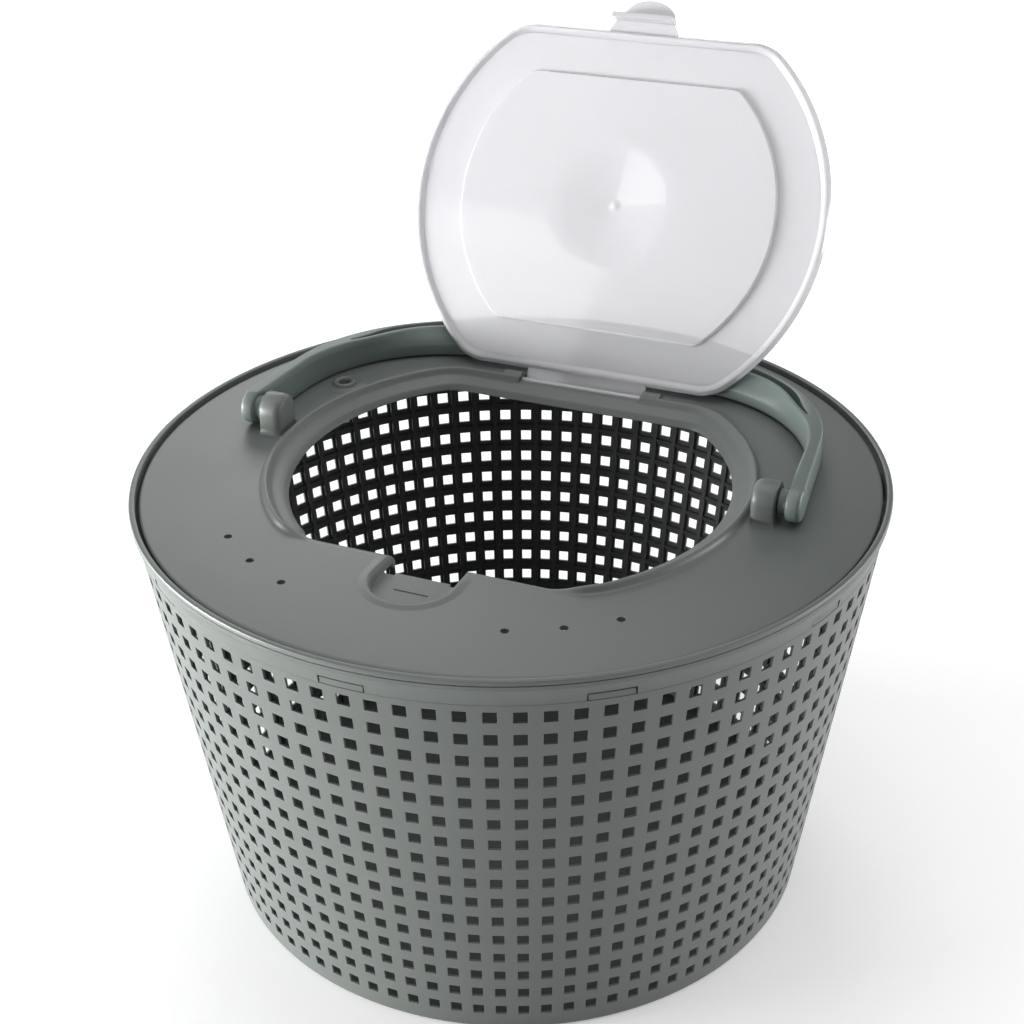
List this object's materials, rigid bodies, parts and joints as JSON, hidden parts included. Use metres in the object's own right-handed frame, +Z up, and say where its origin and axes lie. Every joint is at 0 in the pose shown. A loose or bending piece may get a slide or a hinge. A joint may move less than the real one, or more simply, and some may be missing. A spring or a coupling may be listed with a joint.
{
  "type": "aerated_bait_bucket",
  "caption": "Tapered perforated bait basket with a snap-in cover, a clear hinged hatch over the opening, a hose port, air vents and a folding bow handle.",
  "frame": {"origin": "centre of the basket floor's flat underside, on the basket's axis", "axes": "+Z up, +X to the right seen from the front, -Y to the front, where the finger recess is; the hatch hinge is at the rear, +Y"},
  "size_m": [0.3004, 0.3113, 0.3293],
  "materials": {
    "moulded_polypropylene": null,
    "clear_polypropylene": null
  },
  "bodies": {
    "bucket": {"basket": "moulded_polypropylene", "cover": "moulded_polypropylene"},
    "handle": {"handle": "moulded_polypropylene"},
    "hatch": {"hatch": "clear_polypropylene"}
  },
  "joints": [
    {"name": "hatch_hinge", "type": "hinge", "parent": "bucket", "child": "hatch", "pos_m": [0, 0.0808, 0.1794], "axis": [1, 0, 0], "range_deg": [0, 117]},
    {"name": "handle_pivot", "type": "hinge", "parent": "bucket", "child": "handle", "pos_m": [0, 0, 0.1883], "axis": [1, 0, 0], "range_deg": [0, 45]}
  ],
  "couplings": [
    {"joint": "handle_pivot", "follows": "hatch_hinge", "ratio": 0.3845}
  ]
}
